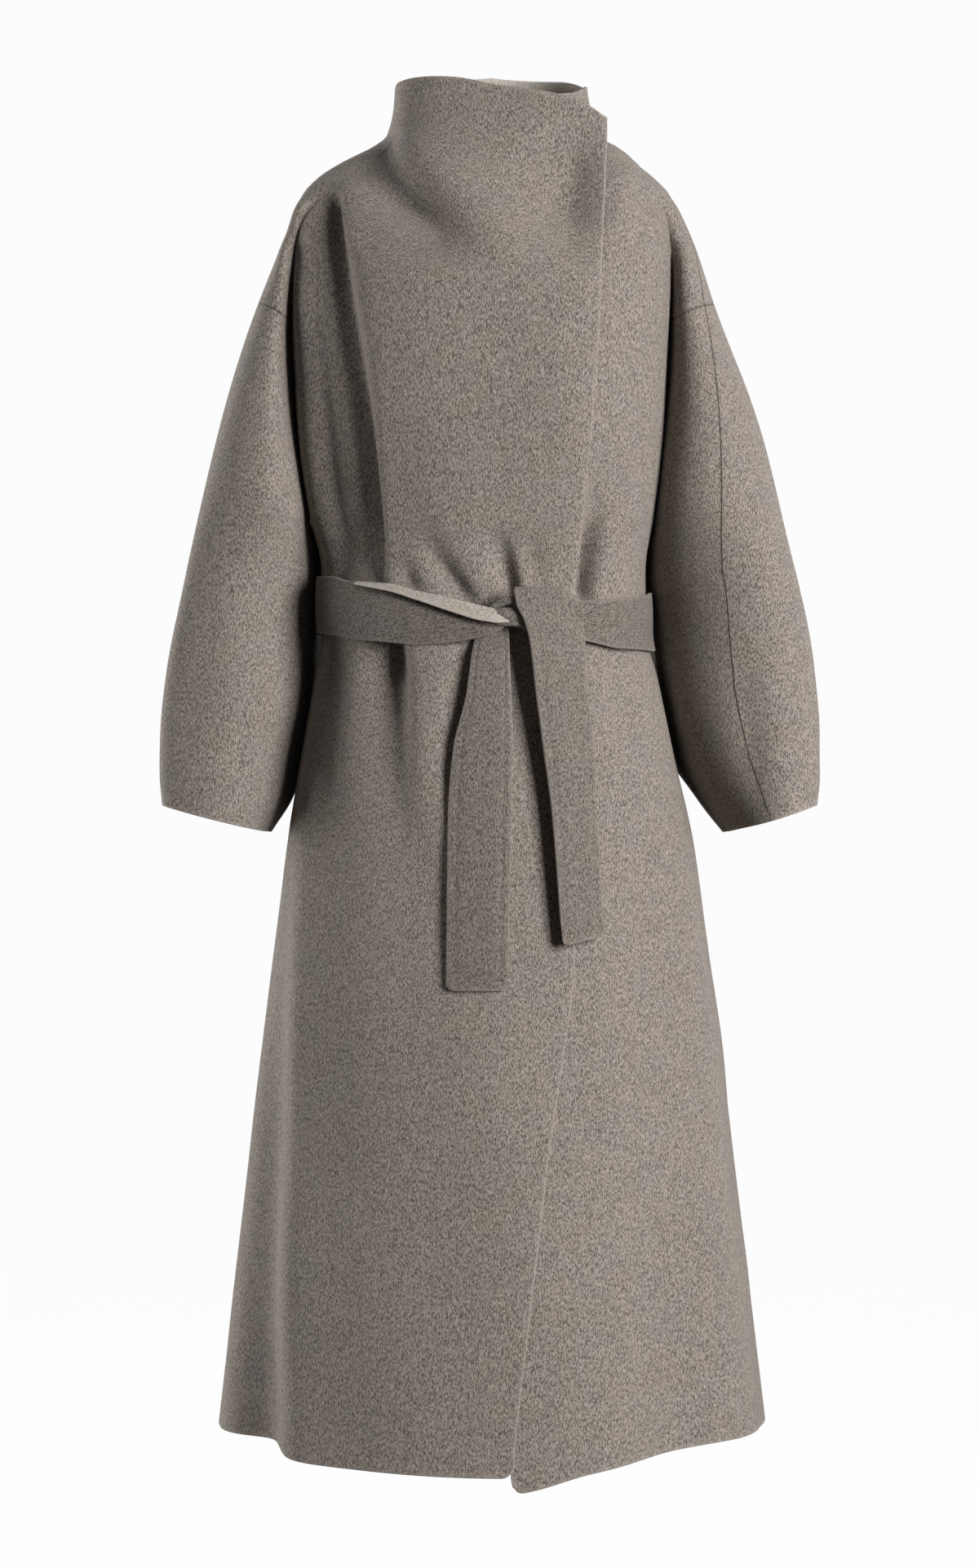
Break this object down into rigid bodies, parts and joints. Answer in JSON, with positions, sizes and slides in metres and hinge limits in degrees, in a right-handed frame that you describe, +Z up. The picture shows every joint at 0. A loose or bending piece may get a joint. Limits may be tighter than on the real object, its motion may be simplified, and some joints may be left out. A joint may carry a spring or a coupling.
{
  "type": "funnel-neck coat",
  "caption": "Long wrap coat of double-faced wool with a grown-on funnel neck, dropped shoulders, wide sleeves and a tied belt, hollow as when worn.",
  "frame": {"origin": "middle of the neck at shoulder height, where the wearer's shoulders carry the coat", "axes": "+Z up, -Y to the front of the coat, +X to the wearer's left"},
  "size_m": [0.5988, 0.4288, 1.2731],
  "materials": {
    "coat_wool": "matt brushed double-faced wool, heathered taupe grey outside and lighter beige inside",
    "belt_wool": "matt brushed wool of the coat, doubled, with a lighter reverse side"
  },
  "bodies": {
    "root": {"front_right": "coat_wool", "front_left": "coat_wool", "back": "coat_wool", "sleeve_right_front": "coat_wool", "sleeve_right_back": "coat_wool", "sleeve_left_front": "coat_wool", "sleeve_left_back": "coat_wool", "belt_band": "belt_wool", "belt_knot": "belt_wool", "belt_end_over": "belt_wool", "belt_end_under": "belt_wool"}
  },
  "joints": []
}
